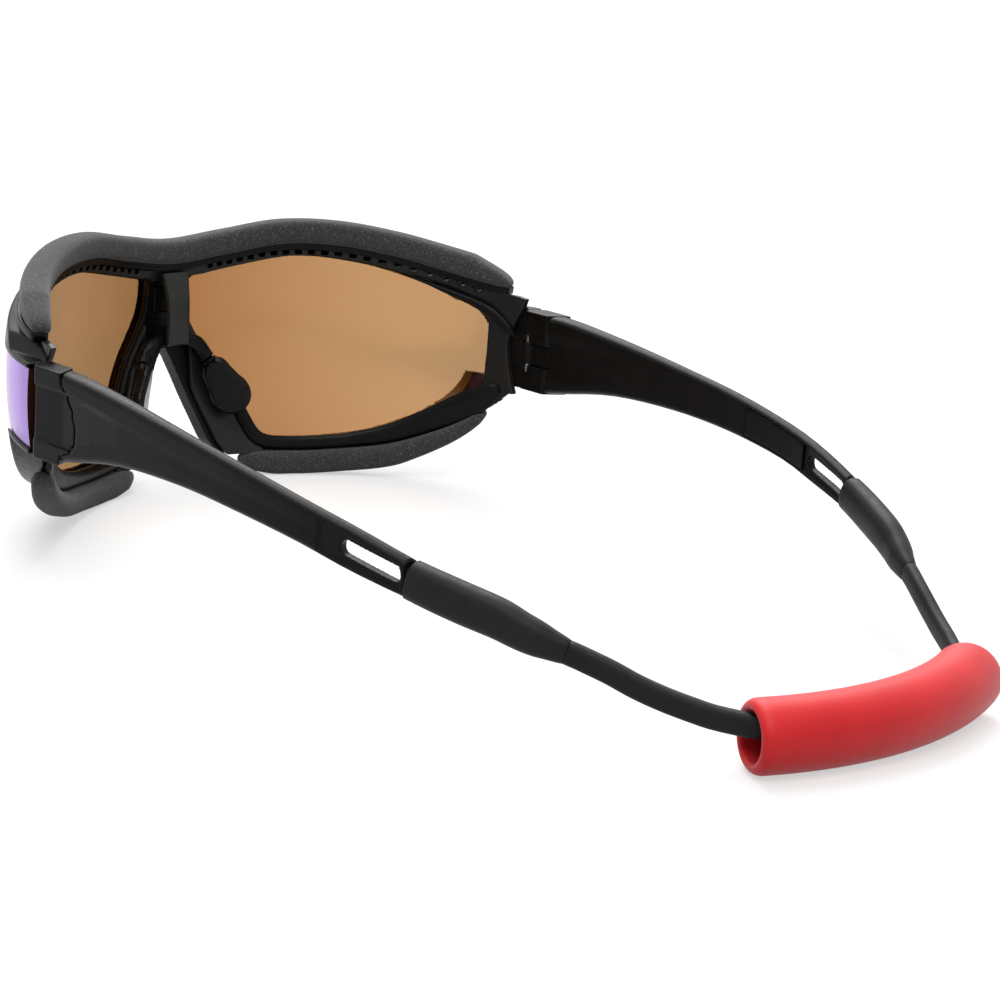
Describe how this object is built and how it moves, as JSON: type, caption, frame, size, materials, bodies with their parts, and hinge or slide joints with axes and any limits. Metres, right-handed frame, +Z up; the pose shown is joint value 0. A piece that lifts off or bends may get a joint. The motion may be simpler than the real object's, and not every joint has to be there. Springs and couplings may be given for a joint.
{
  "type": "wrap-around sports sunglasses",
  "caption": "Wrap-around sports sunglasses with a face foam gasket, folding temples, swivelling nose pads and a head strap that carries a foam float.",
  "frame": {"origin": "middle of the frame's footprint, on the surface that the cheek foam and the float stand on; the strap and the float are left out of the footprint", "axes": "+Z up, +Y the way the wearer looks, +X the wearer's right"},
  "size_m": [0.1358, 0.2222, 0.0577],
  "materials": {
    "plastic": "satin black nylon",
    "lens": "brown tint with a violet mirror coat outside",
    "foam": "fine-celled foam, dark grey with light specks",
    "rubber": "satin",
    "cord": "satin",
    "float_foam": "matt red foam",
    "steel": "dark"
  },
  "bodies": {
    "front": {"front_frame": "plastic", "lens_left": "lens", "lens_right": "lens", "foam_carrier": "plastic", "foam_brow": "foam", "foam_cheek_left": "foam", "foam_cheek_right": "foam", "bridge_strip": "plastic", "bridge_catch": "plastic", "nose_saddle": "plastic", "end_piece_left": "plastic", "end_piece_right": "plastic", "hinge_pin_left": "steel", "hinge_pin_right": "steel", "strap_left": "cord", "strap_right": "cord", "strap_middle": "cord"},
    "left_pad": {"pad_core_left": "plastic", "pad_rubber_left": "rubber"},
    "right_pad": {"pad_core_right": "plastic", "pad_rubber_right": "rubber"},
    "left_temple": {"temple_left": "plastic", "temple_liner_left": "rubber", "sleeve_left": "rubber"},
    "right_temple": {"temple_right": "plastic", "temple_liner_right": "rubber", "sleeve_right": "rubber"},
    "float_body": {"float": "float_foam"}
  },
  "joints": [
    {"name": "temple_left_fold", "type": "hinge", "parent": "front", "child": "left_temple", "pos_m": [-0.0637, 0.0355, 0.0318], "axis": [0, 0, 1], "range_deg": [0, 77], "deforming": ["strap_left"]},
    {"name": "temple_right_fold", "type": "hinge", "parent": "front", "child": "right_temple", "pos_m": [0.0637, 0.0355, 0.0318], "axis": [0, 0, -1], "range_deg": [0, 60], "deforming": ["strap_right"]},
    {"name": "nose_pad_left_swivel", "type": "hinge", "parent": "front", "child": "left_pad", "pos_m": [-0.0088, 0.0822, 0.0266], "axis": [-0.4366, -0.3935, -0.809], "range_deg": [-8, 8]},
    {"name": "nose_pad_right_swivel", "type": "hinge", "parent": "front", "child": "right_pad", "pos_m": [0.0088, 0.0822, 0.0266], "axis": [0.4366, -0.3935, -0.809], "range_deg": [-8, 8]},
    {"name": "float_slide", "type": "hinge", "parent": "front", "child": "float_body", "pos_m": [0, -0.0552, 0.0064], "axis": [0, 0, 1], "range_deg": [-2.5, 2.5]}
  ]
}
